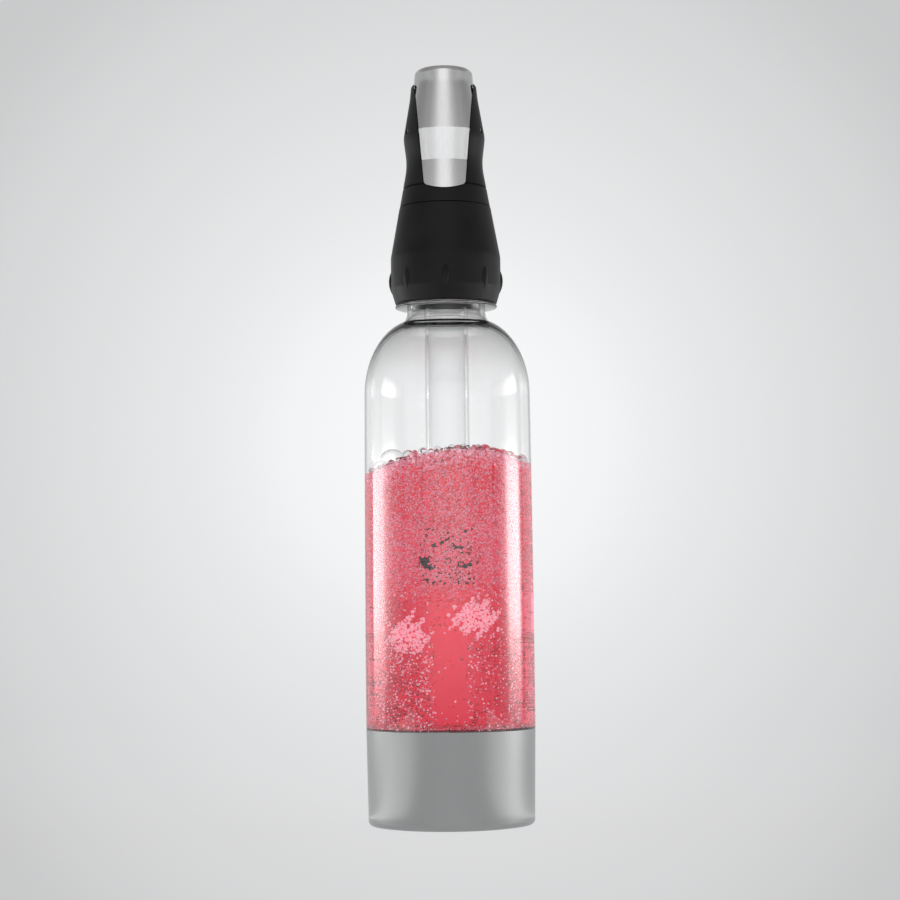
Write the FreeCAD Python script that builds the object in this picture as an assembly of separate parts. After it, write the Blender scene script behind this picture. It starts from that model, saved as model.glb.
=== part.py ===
import FreeCAD, Part

import math
import os

# Carbonating soda siphon: a clear bottle in a base cup, closed by a screw-on head
# that holds a gas charger in a hanging wand and vents through a press lever.
# Millimetres, +Z up, front towards -Y, origin in the middle of the resting face.

V = FreeCAD.Vector
UP = V(0, 0, 1)

# --- clearances -------------------------------------------------------------
seam_gap = 0.3            # between two bodies that pass each other
loose_gap = 0.4           # around a piece that must never rub
running_fit = 0.05        # radial, on a pin, a guide or a screwed socket
press_fit_gap = 0.03      # radial, round a piece that is driven home
beyond = 60.0             # a cut or a block that ends well outside the piece
overcut = 1.0             # a cut that only has to pass a face
touching = 1e-3           # two lengths closer than this are the same

# --- foot pad and base cup --------------------------------------------------
foot_pad_inset = 5.2      # inside the cup's foot
foot_pad_thickness = 1.6
foot_pad_proud = 0.4      # below the cup
foot_pad_rounding = 0.3
cup_rim_radius = 42.0
cup_draft = 0.8           # the foot inside the rim
cup_rim_height = 48.0     # above the table
cup_wall = 2.0
cup_floor = 2.4
cup_edge_rounding = 2.6
cup_rim_rounding = 0.5
cup_least_rounding = 0.5

# --- bottle -----------------------------------------------------------------
bottle_wall = 1.8
bottle_floor = 2.2
bottle_foot_rounding = 26.0
barrel_step = 0.1         # the barrel's foot beyond the cup's rim
barrel_taper = 0.6        # the barrel's top inside its foot
barrel_belly = 0.2        # outside the straight taper, at half height
barrel_height = 166.0     # from the cup's rim to the start of the shoulder
barrel_foot_rounding = 0.9
cup_gap = 0.2             # between the bottle's foot and the cup's wall
shoulder_centre_radius = 15.2
shoulder_rise = 38.0
neck_radius = 19.7
neck_rounding = 5.5
neck_height = 5.9         # from the shoulder's crown to the support flange
support_flange_radius = 25.6
support_flange_thickness = 1.4
support_flange_rounding = 0.6
finish_radius = 20.0      # root of the neck thread
finish_height = 23.7      # from the support flange to the mouth
mouth_radius = 17.4
mouth_rounding = 0.6

# --- head plug and its seals ------------------------------------------------
gasket_thickness = 1.5
plug_flange_radius = 21.2
plug_flange_thickness = 5.5
plug_spigot_length = 18.5
plug_neck_radius = 18.4
plug_core_radius = 12.9
plug_core_height = 31.5   # above the plug's shoulder
plug_foot_rounding = 1.0
plug_flange_rounding = 0.6
plug_crown_rounding = 0.8
oring_section_radius = 0.85
oring_depth = 6.5         # above the foot of the spigot
slip_ring_thickness = 1.0

# --- collar -----------------------------------------------------------------
collar_lip_radius = 25.3
collar_lip_rounding = 1.2
collar_belly_radius = 27.6
collar_belly_low = 7.9    # heights above the collar's lip
collar_belly_high = 23.9
collar_low_rounding = 3.0
collar_high_rounding = 14.0
collar_top_radius = 23.0
collar_ledge_thickness = 5.0
collar_skirt_height = 17.7   # from the slip ring to the collar's top
collar_upper_bore = 20.6
collar_bore_rounding = 0.6
collar_top_rounding = 0.5
collar_rib_count = 8
collar_rib_height = 12.4
collar_rib_half_width = 1.7
collar_rib_sunk = 0.6     # the ribs' axes inside the belly
collar_rib_rise = 11.9    # middle of the ribs above the collar's lip

# --- head shell -------------------------------------------------------------
shell_foot_radius = 22.8
shell_waist_radius = 18.9
shell_waist_rise = 21.5   # heights above the shell's foot
shell_bulge_radius = 20.6
shell_bulge_rise = 35.2
shell_cheek_radius = 17.2
shell_cheek_rise = 55.0
shell_tip_radius = 16.4
shell_tip_rise = 62.6
shell_waist_rounding = 34.0
shell_bulge_rounding = 13.0
shell_cheek_rounding = 16.0
shell_tip_rounding = 1.8
shell_wall = 2.4
shell_floor = 5.0
shell_well_radius = 17.0
shell_well_height = 32.5
shell_groove_rise = 9.5    # middle of the V groove round the shell
shell_groove_height = 1.2
shell_groove_depth = 0.9
shell_top_slope = 14.0    # degrees, the cut behind the cheek tips
shell_screw_count = 3
shell_screw_circle = 15.2
screw_radius = 1.1
screw_length = 11.0
screw_head_radius = 1.7
screw_head_height = 1.8
screw_socket_radius = 0.8
screw_socket_depth = 0.9
screw_first = -90.0       # degrees, the screw at the front

# --- lever ------------------------------------------------------------------
lever_proud = 0.3
lever_wall = 1.8
lever_waist_radius = 18.8
lever_waist_rise = 21.7    # heights above the shell's foot
lever_crease_radius = 21.3
lever_crease_rise = 37.3
lever_crease_rounding = 1.0
lever_brow_radius = 15.2   # where the lever passes the cheek tips
lever_brow_rounding = 20.0
lever_top_rise = 70.4
lever_crown_radius = 14.5
lever_crown_rounding = 3.2
lever_least_rounding = 0.5
lever_tip_rise = 9.0       # corners of the tongue's tip
lever_tip_sag = 2.2        # the tip's middle below its corners
lever_tip_half_width = 10.1
lever_tip_rounding = 2.4
lever_head_half_width = 14.9
lever_head_rise = 65.0
lever_side_gap = 0.4
lever_tongue_back = 5.0   # the tongue's rear edges, ahead of the wand axis
lever_rim_slope = 6.0     # degrees, underside of the hood behind the pivot
hood_gap = 0.5            # between the cheek tips and the hood
lever_swing = 8.0         # degrees, full press
pivot_forward = 7.0       # of the wand axis
pivot_rise = 38.0
pin_radius = 1.5
pin_half_length = 18.4
pin_chamfer = 0.3
ear_inner_face = 9.0
ear_thickness = 2.2
ear_hub_radius = 4.4
ear_drop = 5.0            # the ears' lower edge below the pivot, at the hub
ear_lift = 10.0           # their upper edge above it
ear_flare = 8.0           # extra height where they meet the lever's skin
ear_rounding = 3.0
bush_radius = 2.6
bush_flange_radius = 3.4
bush_flange_thickness = 0.9
tappet_half_width = 4.0
tappet_nose_radius = 2.5
tappet_hub_radius = 3.6
tappet_drop = 2.0         # its underside below the pivot
tappet_skin_gap = 1.6     # between its foot and the lever's skin
tappet_rounding = 0.8

# --- vent valve -------------------------------------------------------------
valve_back = 9.2          # of the wand axis
valve_boss_radius = 6.0
valve_bore_radius = 4.0
valve_bore_depth = 9.5
valve_seat_flange_radius = 4.9
valve_seat_flange_thickness = 1.2
valve_seat_depth = 4.9    # below the plug's top
valve_guide_length = 1.8
valve_port_radius = 0.45
valve_port_circle = 2.35
valve_port_count = 3
valve_rim_rounding = 0.3
spring_pocket_radius = 3.1
stem_radius = 1.5
stem_head_radius = 3.1
stem_head_thickness = 1.0
stem_seal_thickness = 1.0
stem_cap_radius = 2.7
stem_cap_thickness = 1.2
spring_mean_radius = 2.3
spring_wire_radius = 0.25
spring_turns = 5.0
vent_radius = 0.9
vent_circle = 13.1

# --- piercing pin -----------------------------------------------------------
seal_pocket_radius = 4.7
seal_pocket_depth = 6.8   # above the wand socket
seal_thickness = 2.0
seal_bore_radius = 1.7
holder_radius = 4.0
holder_height = 7.0
holder_web = 3.0
needle_radius = 1.0
needle_length = 7.4       # below its foot
needle_point_length = 1.6
needle_foot_radius = 2.4
needle_foot_thickness = 2.0
retainer_slot = 0.8       # wide and deep

# --- charger ----------------------------------------------------------------
charger_radius = 9.0
charger_length = 66.0
charger_neck_radius = 4.3
charger_neck_length = 9.0
charger_foot_rounding = 8.7
charger_shoulder_rounding = 7.0
charger_neck_rounding = 1.5
charger_mouth_rounding = 0.4
charger_shoulder_step = 3.2  # from the shoulder's corner to the neck's
pierced_hole_radius = 1.5
pierced_hole_depth = 4.0

# --- wand -------------------------------------------------------------------
wand_radius = 11.0
wand_bore_radius = 9.4
wand_length = 183.0
wand_socket_rise = 14.2   # top of the wand's socket above the plug's shoulder
wand_gasket_thickness = 1.2
wand_gasket_bore_inset = 0.2
wand_gasket_rim_inset = 0.1
stop_bore_radius = 6.0
stop_height = 4.0
stop_lip = 1.0
stop_root = 0.5           # how far it reaches into the tube's wall
nozzle_radius = 11.3
nozzle_height = 20.0
nozzle_spigot_length = 8.0
nozzle_wall = 2.4
nozzle_spigot_wall = 1.5
nozzle_edge_rounding = 2.5
nozzle_rim_rounding = 0.5
nozzle_slot_count = 8
nozzle_slot_width = 1.6
nozzle_slot_height = 9.0
nozzle_slot_rise = 5.0
outlet_radius = 3.0
flap_radius = 6.2
flap_thickness = 0.9
flap_stalk_radius = 1.2
flap_port_circle = 3.8
flap_port_radius = 0.9
flap_port_count = 6
flap_barb_radius = 2.1
flap_barb_height = 2.5
flap_cone_height = 1.0
membrane_rise = 15.0      # valve plate above the nozzle's foot
membrane_thickness = 2.0

# --- heights that follow from the above -------------------------------------
cup_foot_z = foot_pad_proud
bottle_foot_z = cup_foot_z + cup_floor
barrel_foot_z = cup_rim_height
barrel_top_z = barrel_foot_z + barrel_height
shoulder_top_z = barrel_top_z + shoulder_rise
flange_foot_z = shoulder_top_z + neck_height
flange_top_z = flange_foot_z + support_flange_thickness
mouth_z = flange_top_z + finish_height
collar_lip_z = flange_top_z + seam_gap
plug_flange_z = mouth_z + gasket_thickness
plug_foot_z = plug_flange_z - plug_spigot_length
slip_ring_z = plug_flange_z + plug_flange_thickness
ledge_foot_z = slip_ring_z + slip_ring_thickness
ledge_top_z = ledge_foot_z + collar_ledge_thickness
collar_top_z = ledge_foot_z + collar_skirt_height
shell_foot_z = collar_top_z + seam_gap
plug_shoulder_z = shell_foot_z
plug_top_z = plug_shoulder_z + plug_core_height
socket_top_z = plug_shoulder_z + wand_socket_rise
wand_top_z = socket_top_z - wand_gasket_thickness
wand_foot_z = wand_top_z - wand_length
seal_pocket_top_z = socket_top_z + seal_pocket_depth
charger_top_z = seal_pocket_top_z - seal_thickness
charger_foot_z = charger_top_z - charger_length
nozzle_foot_z = wand_foot_z - nozzle_height
pivot_z = shell_foot_z + pivot_rise
stem_cap_top_z = pivot_z - tappet_nose_radius - seam_gap
stem_cap_foot_z = stem_cap_top_z - stem_cap_thickness
valve_seat_foot_z = plug_top_z - valve_seat_depth
spring_foot_z = valve_seat_foot_z + valve_guide_length
shell_tip_z = shell_foot_z + shell_tip_rise

# --- radii that follow ------------------------------------------------------
cup_foot_radius = cup_rim_radius - cup_draft
foot_pad_radius = cup_foot_radius - foot_pad_inset
bottle_foot_radius = cup_foot_radius - cup_wall - cup_gap
barrel_foot_radius = cup_rim_radius + barrel_step
barrel_top_radius = barrel_foot_radius - barrel_taper
barrel_waist_radius = (barrel_foot_radius + barrel_top_radius) / 2 + barrel_belly
wand_socket_radius = wand_radius + running_fit
collar_bore_radius = plug_flange_radius + loose_gap
plug_spigot_radius = mouth_radius - loose_gap
core_hole_radius = plug_core_radius + seam_gap


# --- helpers ----------------------------------------------------------------
def outline(corners):
    """Closed outline in the XZ plane; each corner is (x, z, rounding radius)."""
    count = len(corners)
    points = [V(corner[0], 0, corner[1]) for corner in corners]
    entries = []
    exits = []
    arcs = []
    for i in range(count):
        rounding = corners[i][2]
        if rounding == 0:
            entries.append(points[i])
            exits.append(points[i])
            arcs.append(None)
            continue
        to_last = (points[i - 1] - points[i]).normalize()
        to_next = (points[(i + 1) % count] - points[i]).normalize()
        half_angle = to_last.getAngle(to_next) / 2
        middle = (to_last + to_next).normalize()
        setback = rounding / math.tan(half_angle)
        centre = points[i] + middle * (rounding / math.sin(half_angle))
        entries.append(points[i] + to_last * setback)
        exits.append(points[i] + to_next * setback)
        arcs.append(Part.Arc(entries[i], centre - middle * rounding, exits[i]).toShape())
    edges = []
    for i in range(count):
        if arcs[i] is not None:
            edges.append(arcs[i])
        start = exits[i]
        end = entries[(i + 1) % count]
        if start.distanceToPoint(end) > touching:
            edges.append(Part.LineSegment(start, end).toShape())
    return Part.Wire(edges)


def turned(corners, back=0.0):
    """Solid of revolution about a vertical axis that lies back along Y."""
    solid = Part.Face(outline(corners)).revolve(V(0, 0, 0), UP, 360)
    solid.translate(V(0, back, 0))
    return solid


def tube(inner, outer, foot, top, back=0.0):
    return turned([(inner, foot, 0), (outer, foot, 0), (outer, top, 0), (inner, top, 0)], back)


def rod(radius, foot, top, x=0.0, y=0.0):
    return Part.makeCylinder(radius, top - foot, V(x, y, foot), UP)


def cross_rod(radius, left, right, y, z):
    return Part.makeCylinder(radius, right - left, V(left, y, z), V(1, 0, 0))


def slab(corners, front, back):
    """Front-view outline (x, z, rounding) made solid from y = front to y = back."""
    face = Part.Face(outline(corners))
    face.translate(V(0, front, 0))
    return face.extrude(V(0, back - front, 0))


def side_plate(corners, left, right):
    """Side-view outline (y, z, rounding) made solid from x = left to x = right."""
    face = Part.Face(outline(corners))
    face.rotate(V(0, 0, 0), UP, 90)
    face.translate(V(left, 0, 0))
    return face.extrude(V(right - left, 0, 0))


def round_circles(solid, places, rounding):
    """Round the circular edges that lie at the given (radius, z) places."""
    picked = []
    for edge in solid.Edges:
        if not isinstance(edge.Curve, Part.Circle):
            continue
        for radius, z in places:
            same_radius = abs(edge.Curve.Radius - radius) < touching
            if same_radius and abs(edge.Curve.Center.z - z) < touching:
                picked.append(edge)
    return solid.makeFillet(rounding, picked)


def around(shape, count, first=0.0):
    """Copies of a shape evenly round the main axis, first angle in degrees."""
    copies = []
    for i in range(count):
        copy = shape.copy()
        copy.rotate(V(0, 0, 0), UP, first + i * 360.0 / count)
        copies.append(copy)
    return copies


# --- bottle group -----------------------------------------------------------
def make_foot_pad():
    return turned([
        (0, 0, 0), (foot_pad_radius, 0, foot_pad_rounding),
        (foot_pad_radius, foot_pad_thickness, 0), (0, foot_pad_thickness, 0),
    ])


def make_base_cup():
    floor_top = bottle_foot_z
    inner_low = cup_foot_radius - cup_wall
    inner_high = cup_rim_radius - cup_wall
    inner_rounding = max(cup_edge_rounding - cup_wall, cup_least_rounding)
    cup = turned([
        (0, cup_foot_z, 0),
        (cup_foot_radius, cup_foot_z, cup_edge_rounding),
        (cup_rim_radius, cup_rim_height, cup_rim_rounding),
        (inner_high, cup_rim_height, 0),
        (inner_low, floor_top, inner_rounding),
        (0, floor_top, 0),
    ])
    return cup.cut(rod(foot_pad_radius + cup_gap, 0, foot_pad_thickness))


def shoulder_arc(radius_at_foot, rise, end_radius):
    """Quarter-ellipse shoulder from the barrel's top in to the neck."""
    reach = radius_at_foot - shoulder_centre_radius
    centre = V(shoulder_centre_radius, 0, barrel_top_z)
    across = (end_radius - shoulder_centre_radius) / reach
    if rise >= reach:
        ellipse = Part.Ellipse(centre + V(0, 0, rise), centre + V(reach, 0, 0), centre)
    else:
        ellipse = Part.Ellipse(centre + V(reach, 0, 0), centre + V(0, 0, rise), centre)
    end_z = barrel_top_z + rise * math.sqrt(1 - across * across)
    first = ellipse.parameter(V(radius_at_foot, 0, barrel_top_z))
    last = ellipse.parameter(V(end_radius, 0, end_z))
    arc = Part.ArcOfEllipse(ellipse, min(first, last), max(first, last))
    return arc.toShape(), end_z


def quarter_turn(centre, radius, across, along):
    """Rounded corner; across and along are -1 or 1 along X and Z."""
    slant = radius * math.sqrt(0.5)
    low = centre + V(0, 0, along * radius)
    middle = centre + V(across * slant, 0, along * slant)
    side = centre + V(across * radius, 0, 0)
    return Part.Arc(low, middle, side).toShape(), low, side


def bottle_solid(inset, foot_radius, foot_z, foot_rounding, neck, top_z, step_rise):
    """The bottle's outer or, with an inset, inner form up to the mouth."""
    rounding = barrel_foot_rounding
    corner_z = barrel_foot_z + step_rise + rounding
    barrel_foot = V(barrel_foot_radius - inset, 0, corner_z)
    corner, corner_low, corner_side = quarter_turn(barrel_foot - V(rounding, 0, 0), rounding, 1, -1)
    barrel_waist = V(barrel_waist_radius - inset, 0, (barrel_foot_z + barrel_top_z) / 2)
    barrel_top = V(barrel_top_radius - inset, 0, barrel_top_z)
    shoulder, neck_z = shoulder_arc(barrel_top_radius - inset, shoulder_rise - inset, neck)
    centre = V(foot_radius - foot_rounding, 0, foot_z + foot_rounding)
    foot_turn, foot_start, foot_end = quarter_turn(centre, foot_rounding, 1, -1)
    step = V(foot_radius, 0, barrel_foot_z)
    neck_foot = V(neck, 0, neck_z)
    edges = [
        Part.LineSegment(V(0, 0, foot_z), foot_start).toShape(),
        foot_turn,
        Part.LineSegment(foot_end, step).toShape(),
        Part.LineSegment(step, corner_low).toShape(),
        corner,
        Part.Arc(barrel_foot, barrel_waist, barrel_top).toShape(),
        shoulder,
        Part.LineSegment(neck_foot, V(neck, 0, top_z)).toShape(),
        Part.LineSegment(V(neck, 0, top_z), V(0, 0, top_z)).toShape(),
        Part.LineSegment(V(0, 0, top_z), V(0, 0, foot_z)).toShape(),
    ]
    wire = Part.Wire(Part.__sortEdges__(edges))
    solid = Part.Face(wire).revolve(V(0, 0, 0), UP, 360)
    return round_circles(solid, [(neck, neck_z)], neck_rounding + inset)


def make_bottle():
    body = bottle_solid(
        0, bottle_foot_radius, bottle_foot_z, bottle_foot_rounding,
        neck_radius, flange_foot_z, 0)
    finish = turned([
        (0, flange_foot_z, 0),
        (support_flange_radius, flange_foot_z, support_flange_rounding),
        (support_flange_radius, flange_top_z, support_flange_rounding),
        (finish_radius, flange_top_z, 0),
        (finish_radius, mouth_z, mouth_rounding),
        (0, mouth_z, 0),
    ])
    inside = bottle_solid(
        bottle_wall, bottle_foot_radius - bottle_wall, bottle_foot_z + bottle_floor,
        bottle_foot_rounding - bottle_wall, mouth_radius, mouth_z + overcut,
        barrel_foot_radius - bottle_foot_radius)
    return body.fuse(finish).removeSplitter().cut(inside)


# --- head group -------------------------------------------------------------
def make_neck_gasket():
    return tube(plug_spigot_radius + press_fit_gap, finish_radius, mouth_z, plug_flange_z)


def make_plug_oring():
    centre = mouth_radius - 2 * running_fit - oring_section_radius
    return Part.makeTorus(centre, oring_section_radius, V(0, 0, plug_foot_z + oring_depth), UP)


def make_head_plug():
    plug = turned([
        (0, plug_foot_z, 0),
        (plug_spigot_radius, plug_foot_z, plug_foot_rounding),
        (plug_spigot_radius, plug_flange_z, 0),
        (plug_flange_radius, plug_flange_z, 0),
        (plug_flange_radius, slip_ring_z, plug_flange_rounding),
        (plug_neck_radius, slip_ring_z, 0),
        (plug_neck_radius, plug_shoulder_z, 0),
        (plug_core_radius, plug_shoulder_z, 0),
        (plug_core_radius, plug_top_z, plug_crown_rounding),
        (0, plug_top_z, 0),
    ])
    plug = plug.fuse(rod(valve_boss_radius, plug_shoulder_z, plug_top_z, 0, valve_back))
    groove_z = plug_foot_z + oring_depth
    groove_half = oring_section_radius + 2 * running_fit
    groove_floor = mouth_radius - 4 * running_fit - 2 * oring_section_radius
    holes = [
        rod(wand_socket_radius, plug_foot_z, socket_top_z),
        rod(seal_pocket_radius, socket_top_z, seal_pocket_top_z),
        rod(holder_radius + press_fit_gap, seal_pocket_top_z, plug_top_z),
        rod(valve_bore_radius, plug_top_z - valve_bore_depth, plug_top_z, 0, valve_back),
        rod(vent_radius, plug_foot_z, plug_top_z - valve_bore_depth + vent_radius, 0, vent_circle),
        tube(groove_floor, plug_spigot_radius + overcut, groove_z - groove_half, groove_z + groove_half),
    ]
    holes += around(screw_hole(), shell_screw_count, screw_first)
    return plug.cut(Part.makeCompound(holes)).removeSplitter()


def screw_hole():
    floor_top = shell_foot_z + shell_floor
    foot = floor_top - screw_length - loose_gap
    return rod(screw_radius + press_fit_gap, foot, floor_top, shell_screw_circle, 0)


def make_head_screws():
    floor_top = shell_foot_z + shell_floor
    shank = rod(screw_radius, floor_top - screw_length, floor_top, shell_screw_circle, 0)
    head = rod(screw_head_radius, floor_top, floor_top + screw_head_height, shell_screw_circle, 0)
    head_top = floor_top + screw_head_height
    socket = rod(screw_socket_radius, head_top - screw_socket_depth, head_top, shell_screw_circle, 0)
    screw = shank.fuse(head).cut(socket).removeSplitter()
    return Part.makeCompound(around(screw, shell_screw_count, screw_first))


def shell_form(inset, foot_z):
    """The black shell's waisted form, up to the cheeks beside the lever."""
    return [
        (0, foot_z, 0),
        (shell_foot_radius - inset, foot_z, 0),
        (shell_waist_radius - inset, shell_foot_z + shell_waist_rise, shell_waist_rounding),
        (shell_bulge_radius - inset, shell_foot_z + shell_bulge_rise, shell_bulge_rounding),
        (shell_cheek_radius - inset, shell_foot_z + shell_cheek_rise, shell_cheek_rounding),
    ]


def lever_front(gap, front, back):
    """Front view of the tapered lever tongue, grown by a gap, as a block."""
    tip_z = shell_foot_z + lever_tip_rise
    head_z = shell_foot_z + lever_head_rise
    top_z = shell_foot_z + lever_top_rise + overcut
    tip = lever_tip_half_width + gap
    head = lever_head_half_width + gap
    block = slab([
        (-tip, tip_z - lever_tip_sag - gap, 0), (tip, tip_z - lever_tip_sag - gap, 0),
        (head, head_z, 0), (head, top_z, 0), (-head, top_z, 0), (-head, head_z, 0),
    ], front, back)
    bow_radius = (lever_tip_half_width ** 2 + lever_tip_sag ** 2) / (2 * lever_tip_sag) + gap
    bow_z = tip_z - lever_tip_sag - gap + bow_radius
    bow = Part.makeCylinder(bow_radius, back - front, V(0, front, bow_z), V(0, 1, 0))
    above = Part.makeBox(4 * head, back - front, top_z, V(-2 * head, front, bow_z))
    block = block.common(bow.fuse(above))
    corners = []
    for edge in block.Edges:
        middle = edge.BoundBox.Center
        along_y = edge.BoundBox.XLength < touching and edge.BoundBox.ZLength < touching
        if along_y and middle.z < tip_z + lever_tip_sag and abs(middle.x) > tip / 2:
            corners.append(edge)
    return block.makeFillet(lever_tip_rounding + gap, corners)


def above_plane(height, slope):
    """Block above a plane that passes the cheek tips and falls towards the back."""
    tips_y = -math.sqrt(lever_brow_radius ** 2 - lever_head_half_width ** 2)
    block = Part.makeBox(2 * beyond, 2 * beyond, beyond, V(-beyond, -beyond, 0))
    block.rotate(V(0, 0, 0), V(1, 0, 0), -slope)
    block.translate(V(0, tips_y, height))
    ahead = Part.makeBox(2 * beyond, beyond, beyond, V(-beyond, tips_y - beyond, height))
    return block.fuse(ahead)


def make_head_shell():
    top_z = shell_tip_z
    outer = turned(shell_form(0, shell_foot_z) + [
        (shell_tip_radius, top_z, shell_tip_rounding), (0, top_z, 0)])
    inner = turned(shell_form(shell_wall, shell_foot_z) + [
        (shell_tip_radius - shell_wall, top_z, 0), (0, top_z, 0)])
    floor_top = shell_foot_z + shell_floor
    well_top = shell_foot_z + shell_well_height
    back_slot = lever_front(lever_side_gap, 0, beyond).common(inner)
    corner = V(-beyond, -beyond, shell_foot_z)
    low_block = Part.makeBox(2 * beyond, 2 * beyond, well_top - shell_foot_z, corner)
    groove_z = shell_foot_z + shell_groove_rise
    groove_share = shell_groove_rise / shell_waist_rise
    groove_radius = shell_foot_radius + (shell_waist_radius - shell_foot_radius) * groove_share
    groove_root = groove_radius - shell_groove_depth
    flare = shell_groove_height / 2 / shell_groove_depth
    groove_mouth = groove_radius + shell_groove_depth
    groove = turned([
        (groove_root, groove_z, 0),
        (groove_mouth, groove_z - flare * (groove_mouth - groove_root), 0),
        (groove_mouth, groove_z + flare * (groove_mouth - groove_root), 0)])
    shell = outer.cut(lever_front(lever_side_gap, -beyond, 0))
    shell = shell.cut(back_slot.cut(low_block))
    shell = shell.cut(rod(shell_well_radius, floor_top, well_top))
    shell = shell.cut(rod(core_hole_radius, shell_foot_z, floor_top))
    shell = shell.cut(rod(valve_boss_radius + seam_gap, shell_foot_z, floor_top, 0, valve_back))
    shell = shell.cut(groove)
    shell = shell.cut(above_plane(shell_tip_z - hood_gap, shell_top_slope))
    shell = shell.cut(cross_rod(pin_radius + press_fit_gap, -beyond, beyond, -pivot_forward, pivot_z))
    shell = shell.cut(Part.makeCompound(around(screw_hole(), shell_screw_count, screw_first)))
    return shell.removeSplitter()


def make_lever_pin():
    pin = cross_rod(pin_radius, -pin_half_length, pin_half_length, -pivot_forward, pivot_z)
    return pin.makeChamfer(pin_chamfer, [pin.Edges[0], pin.Edges[2]])


# --- collar group -----------------------------------------------------------
def make_collar():
    low_z = collar_lip_z + collar_belly_low
    high_z = collar_lip_z + collar_belly_high
    ledge_bore = plug_neck_radius + seam_gap
    collar = turned([
        (collar_bore_radius, collar_lip_z, collar_bore_rounding),
        (collar_lip_radius, collar_lip_z, collar_lip_rounding),
        (collar_belly_radius, low_z, collar_low_rounding),
        (collar_belly_radius, high_z, collar_high_rounding),
        (collar_top_radius, collar_top_z, collar_top_rounding),
        (collar_upper_bore, collar_top_z, 0),
        (collar_upper_bore, ledge_top_z, 0),
        (ledge_bore, ledge_top_z, 0),
        (ledge_bore, ledge_foot_z, 0),
        (collar_bore_radius, ledge_foot_z, 0),
    ])
    rib_z = collar_lip_z + collar_rib_rise
    foot = V(0, 0, -collar_rib_height / 2)
    top = V(0, 0, collar_rib_height / 2)
    bow = Part.Arc(foot, V(collar_rib_half_width, 0, 0), top).toShape()
    lens = Part.Face(Part.Wire([bow, Part.LineSegment(top, foot).toShape()]))
    rib = lens.revolve(V(0, 0, 0), UP, 360)
    rib.translate(V(0, -(collar_belly_radius - collar_rib_sunk), rib_z))
    return collar.fuse(around(rib, collar_rib_count)).removeSplitter()


def make_slip_ring():
    return tube(plug_neck_radius + press_fit_gap, plug_flange_radius, slip_ring_z, ledge_foot_z)


# --- lever group ------------------------------------------------------------
def lever_skin(inset):
    """The lever's form: three facets with crisp creases, closed by a crown."""
    top_z = shell_foot_z + lever_top_rise
    foot_z = shell_foot_z
    rounding = max(lever_crown_rounding - inset, lever_least_rounding)
    return turned([
        (0, foot_z, 0),
        (shell_foot_radius + lever_proud - inset, foot_z, 0),
        (lever_waist_radius - inset, foot_z + lever_waist_rise, lever_crease_rounding + inset),
        (lever_crease_radius - inset, foot_z + lever_crease_rise, lever_crease_rounding),
        (lever_brow_radius - inset, shell_tip_z, lever_brow_rounding),
        (lever_crown_radius - inset, top_z - inset, rounding),
        (0, top_z - inset, 0),
    ])


def make_lever():
    form = lever_skin(0)
    skin = form.cut(lever_skin(lever_wall))
    tongue = skin.common(lever_front(0, -beyond, -lever_tongue_back))
    hood = skin.common(above_plane(shell_tip_z, lever_rim_slope))
    ear_outer = ear_inner_face + ear_thickness
    reach = -lever_crease_radius - lever_wall
    middle = (reach - pivot_forward) / 2
    ear_corners = [
        (reach, pivot_z - ear_drop - ear_flare, 0), (middle, pivot_z - ear_drop, ear_rounding),
        (-pivot_forward, pivot_z - ear_hub_radius, 0), (-pivot_forward, pivot_z + ear_hub_radius, 0),
        (middle, pivot_z + ear_lift, ear_rounding), (reach, pivot_z + ear_lift + ear_flare, 0),
    ]
    parts = [tongue, hood]
    for side in (-1, 1):
        left = min(side * ear_inner_face, side * ear_outer)
        ear = side_plate(ear_corners, left, left + ear_thickness)
        hub = cross_rod(ear_hub_radius, left, left + ear_thickness, -pivot_forward, pivot_z)
        parts.append(ear.fuse(hub).common(form))
    lever = parts[0].fuse(parts[1:])
    return lever.cut(cross_rod(bush_radius, -beyond, beyond, -pivot_forward, pivot_z)).removeSplitter()


def make_lever_bushes():
    ear_outer = ear_inner_face + ear_thickness
    flange_face = ear_outer + bush_flange_thickness
    barrel = cross_rod(bush_radius - press_fit_gap, ear_inner_face, ear_outer, -pivot_forward, pivot_z)
    flange = cross_rod(bush_flange_radius, ear_outer, flange_face, -pivot_forward, pivot_z)
    bore = cross_rod(pin_radius + running_fit, 0, beyond, -pivot_forward, pivot_z)
    right = barrel.fuse(flange).cut(bore).removeSplitter()
    left = right.mirror(V(0, 0, 0), V(1, 0, 0))
    return Part.makeCompound([left, right])


def make_tappet():
    nose_y = valve_back
    foot = -(lever_crease_radius - lever_wall - tappet_skin_gap)
    low = pivot_z - tappet_drop
    high = pivot_z + tappet_nose_radius
    bar = side_plate([
        (foot, low, tappet_rounding), (nose_y, low, 0), (nose_y, high, 0), (foot, high, tappet_rounding),
    ], -tappet_half_width, tappet_half_width)
    nose = cross_rod(tappet_nose_radius, -tappet_half_width, tappet_half_width, nose_y, pivot_z)
    hub = cross_rod(tappet_hub_radius, -ear_inner_face, ear_inner_face, -pivot_forward, pivot_z)
    bore = cross_rod(pin_radius + 2 * running_fit, -beyond, beyond, -pivot_forward, pivot_z)
    return bar.fuse([nose, hub]).cut(bore).removeSplitter()


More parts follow.
